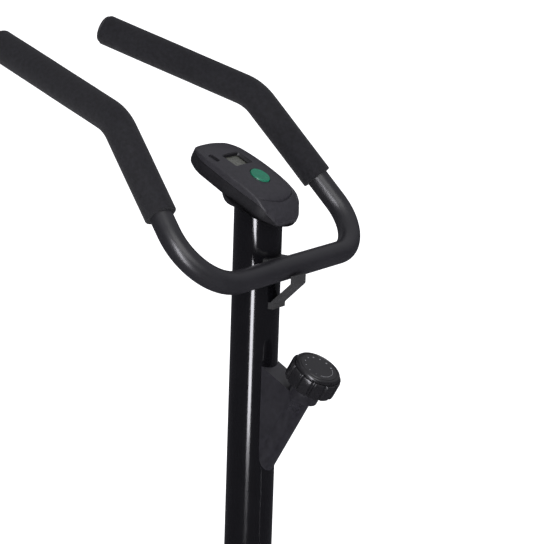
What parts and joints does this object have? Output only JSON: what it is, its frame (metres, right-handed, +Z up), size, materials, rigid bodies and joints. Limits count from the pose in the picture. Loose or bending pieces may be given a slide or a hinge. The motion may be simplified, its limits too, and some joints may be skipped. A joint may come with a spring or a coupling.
{
  "type": "exercise bike",
  "caption": "Upright magnetic exercise bike with a round mast, bent handlebar with foam grips, small tilted console, tension knob, sliding saddle, cranks, pedals and a belt-driven flywheel.",
  "frame": {"origin": "on the floor, at the middle of the footprint", "axes": "+Z up, +Y to the front where the handlebar's tips point, +X to the rider's right"},
  "size_m": [0.47, 0.9999, 1.2448],
  "materials": {
    "frame_paint": "gloss black paint",
    "inner_paint": "satin dark grey paint",
    "zinc_steel": "bright zinc plate",
    "polished_steel": "polished",
    "black_steel": "satin black paint",
    "magnet_nickel": "nickel plate",
    "cast_iron": "machined rim",
    "pulley_plastic": "matt moulded nylon",
    "moulded_black": "fine moulded texture",
    "knob_plastic": "satin gloss",
    "housing_plastic": "fine spark texture",
    "console_shell": "satin charcoal",
    "console_base": "satin charcoal",
    "button_green": "satin green",
    "lens_clear": "clear acrylic",
    "display_grey": "reflective grey display",
    "circuit_green": "solder mask",
    "battery_jacket": "printed sleeve",
    "sensor_black": "black",
    "cable_sheath": "vinyl sheath",
    "belt_rubber": "ribbed",
    "foam": "closed-cell foam",
    "pad_rubber": "matt",
    "pedal_plastic": "moulded texture",
    "strap_rubber": "matt",
    "saddle_shell": "fine texture",
    "saddle_cover": "soft grained vinyl"
  },
  "bodies": {
    "frame": {"base_beam": "frame_paint", "stabilisers": "frame_paint", "stabiliser_bolts": "zinc_steel", "end_caps": "moulded_black", "floor_pads": "pad_rubber", "wheel_pins": "zinc_steel", "seat_tube": "frame_paint", "front_post": "inner_paint", "crank_support": "inner_paint", "flywheel_fork": "inner_paint", "mast": "frame_paint", "mast_bolts": "zinc_steel", "handlebar": "frame_paint", "handlebar_brackets": "inner_paint", "grip_left": "foam", "grip_right": "foam", "handlebar_plugs": "moulded_black", "tension_bracket": "moulded_black", "tension_cable": "cable_sheath", "console_upper": "console_shell", "console_lower": "console_base", "console_lens": "lens_clear", "console_display": "display_grey", "circuit_board": "circuit_green", "batteries": "battery_jacket", "console_screws": "zinc_steel", "housing_left": "housing_plastic", "housing_right": "housing_plastic", "housing_screws": "zinc_steel", "mast_boot": "moulded_black", "crank_bearings": "zinc_steel", "belt": "belt_rubber", "flywheel_axle": "zinc_steel", "brake_bracket": "inner_paint", "speed_sensor": "sensor_black", "seat_bush": "moulded_black"},
    "crank": {"crank_axle": "polished_steel", "crank_arms": "black_steel", "crank_covers": "moulded_black", "drive_pulley": "pulley_plastic", "pedal_axles": "polished_steel"},
    "pedal_l": {"pedal_left": "pedal_plastic", "pedal_strap_left": "strap_rubber"},
    "pedal_r": {"pedal_right": "pedal_plastic", "pedal_strap_right": "strap_rubber"},
    "wheel": {"flywheel": "cast_iron", "flywheel_bearings": "zinc_steel", "flywheel_pulley": "pulley_plastic"},
    "brake": {"brake_arm": "inner_paint", "brake_magnets": "magnet_nickel"},
    "tension": {"tension_knob": "knob_plastic", "tension_spindle": "moulded_black"},
    "key": {"console_button": "button_green"},
    "seat": {"seat_post": "polished_steel", "saddle_clamp": "zinc_steel", "saddle_pan": "saddle_shell", "saddle_cushion": "saddle_cover"},
    "pin": {"seat_pin": "moulded_black"},
    "roller_l": {"transport_wheel_left": "moulded_black"},
    "roller_r": {"transport_wheel_right": "moulded_black"}
  },
  "joints": [
    {"name": "crank_spin", "type": "hinge", "parent": "frame", "child": "crank", "pos_m": [0, 0, 0.29], "axis": [1, 0, 0], "continuous": true},
    {"name": "pedal_l_spin", "type": "hinge", "parent": "crank", "child": "pedal_l", "pos_m": [-0.076, -0.14954, 0.35973], "axis": [1, 0, 0], "continuous": true},
    {"name": "pedal_r_spin", "type": "hinge", "parent": "crank", "child": "pedal_r", "pos_m": [0.076, 0.14954, 0.22027], "axis": [1, 0, 0], "continuous": true},
    {"name": "flywheel_spin", "type": "hinge", "parent": "frame", "child": "wheel", "pos_m": [0, 0.307, 0.28], "axis": [1, 0, 0], "continuous": true},
    {"name": "tension_turn", "type": "hinge", "parent": "frame", "child": "tension", "pos_m": [0, 0.0845, 0.8271], "axis": [0, -0.4879, 0.8729], "range_deg": [0, 300]},
    {"name": "brake_swing", "type": "hinge", "parent": "frame", "child": "brake", "pos_m": [0, 0.22, 0.37], "axis": [1, 0, 0], "range_deg": [0, 4.2]},
    {"name": "button_press", "type": "slide", "parent": "frame", "child": "key", "axis": [0, 0.454, -0.891], "range_m": [0, 0.0015], "stiffness_N_per_m": 400},
    {"name": "seat_height", "type": "slide", "parent": "frame", "child": "seat", "axis": [0, -0.2924, 0.9563], "range_m": [0, 0.125]},
    {"name": "seat_pin_pull", "type": "slide", "parent": "frame", "child": "pin", "axis": [0, -0.9563, -0.2924], "range_m": [0, 0.006], "stiffness_N_per_m": 1500},
    {"name": "roller_l_spin", "type": "hinge", "parent": "frame", "child": "roller_l", "pos_m": [-0.212, 0.48, 0.036], "axis": [1, 0, 0], "continuous": true},
    {"name": "roller_r_spin", "type": "hinge", "parent": "frame", "child": "roller_r", "pos_m": [0.212, 0.48, 0.036], "axis": [1, 0, 0], "continuous": true}
  ],
  "couplings": [
    {"joint": "flywheel_spin", "follows": "crank_spin", "ratio": 5},
    {"joint": "brake_swing", "follows": "tension_turn", "ratio": 0.013333}
  ]
}
